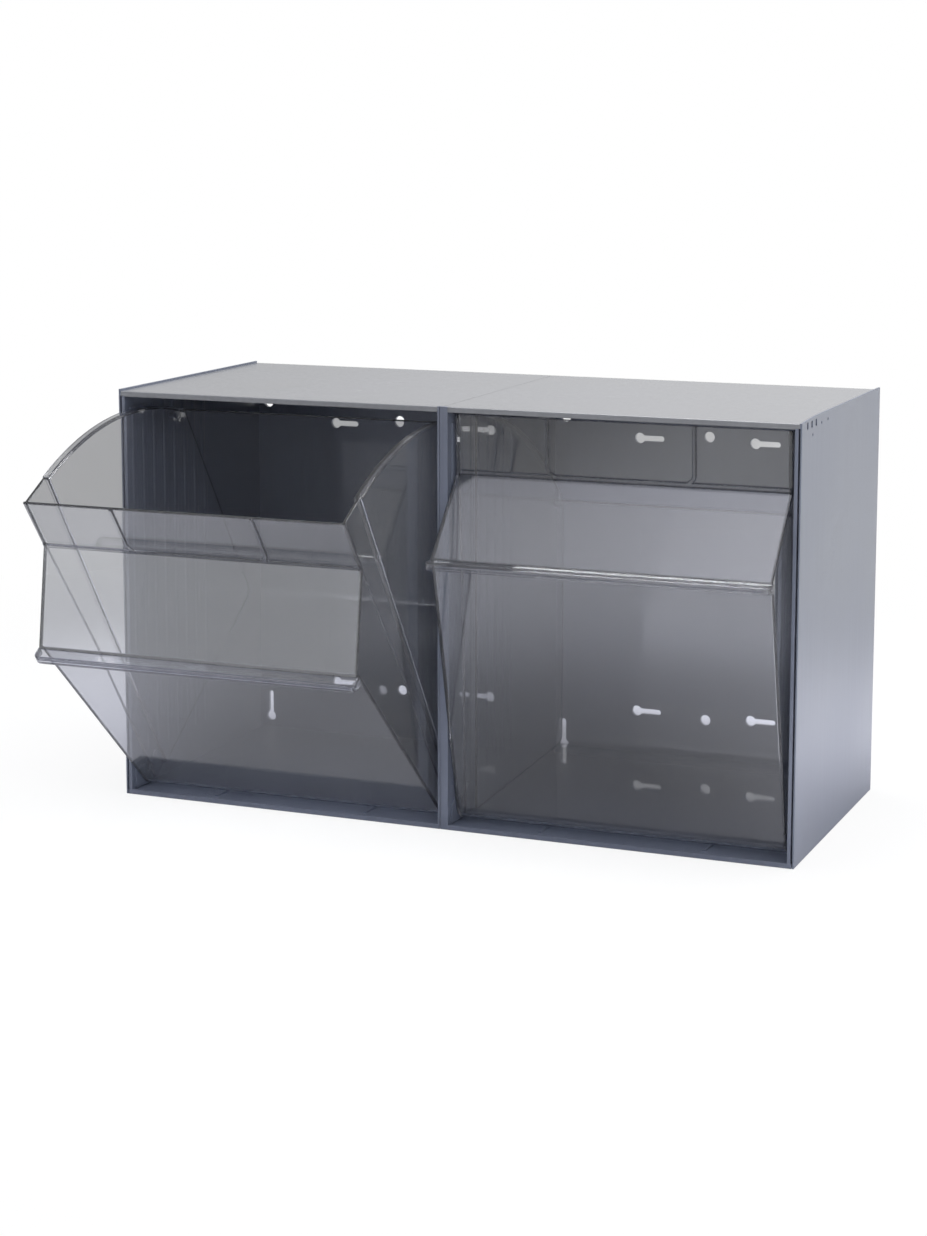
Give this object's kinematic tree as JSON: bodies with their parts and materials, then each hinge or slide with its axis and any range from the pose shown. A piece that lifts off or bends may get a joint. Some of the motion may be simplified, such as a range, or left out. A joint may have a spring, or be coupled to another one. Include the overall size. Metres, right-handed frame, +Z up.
{
  "type": "tilt out bin unit",
  "caption": "Bench or wall unit with clear bins side by side that tilt forward on trunnions in a moulded cabinet, with keyholes in its back.",
  "frame": {"origin": "centre of the cabinet's base, on the surface it stands on", "axes": "+X to the right along the front, +Y to the back, +Z up"},
  "size_m": [0.6, 0.4293, 0.356],
  "materials": {
    "slate_plastic": "satin moulded polystyrene, slate grey",
    "top_plastic": "fine satin texture, slate grey",
    "clear_plastic": "clear polystyrene, polished"
  },
  "bodies": {
    "cabinet": {"back_panel_left": "slate_plastic", "back_panel_right": "slate_plastic", "divider_panel": "slate_plastic", "floor_panel_left": "slate_plastic", "floor_panel_right": "slate_plastic", "left_bay_pivot_bracket_inner": "slate_plastic", "left_bay_pivot_bracket_outer": "slate_plastic", "left_bay_stop_pin_inner": "slate_plastic", "left_bay_stop_pin_outer": "slate_plastic", "right_bay_pivot_bracket_inner": "slate_plastic", "right_bay_pivot_bracket_outer": "slate_plastic", "right_bay_stop_pin_inner": "slate_plastic", "right_bay_stop_pin_outer": "slate_plastic", "side_panel_left": "slate_plastic", "side_panel_right": "slate_plastic", "top_panel_left": "top_plastic", "top_panel_right": "top_plastic"},
    "left_bin": {"bin_left": "clear_plastic"},
    "right_bin": {"bin_right": "clear_plastic"}
  },
  "joints": [
    {"name": "left_bin_tilt", "type": "hinge", "parent": "cabinet", "child": "left_bin", "pos_m": [-0.1507, -0.1019, 0.0198], "axis": [1, 0, 0], "range_deg": [-34, 0]},
    {"name": "right_bin_tilt", "type": "hinge", "parent": "cabinet", "child": "right_bin", "pos_m": [0.1483, -0.1019, 0.0198], "axis": [1, 0, 0], "range_deg": [0, 34]}
  ]
}
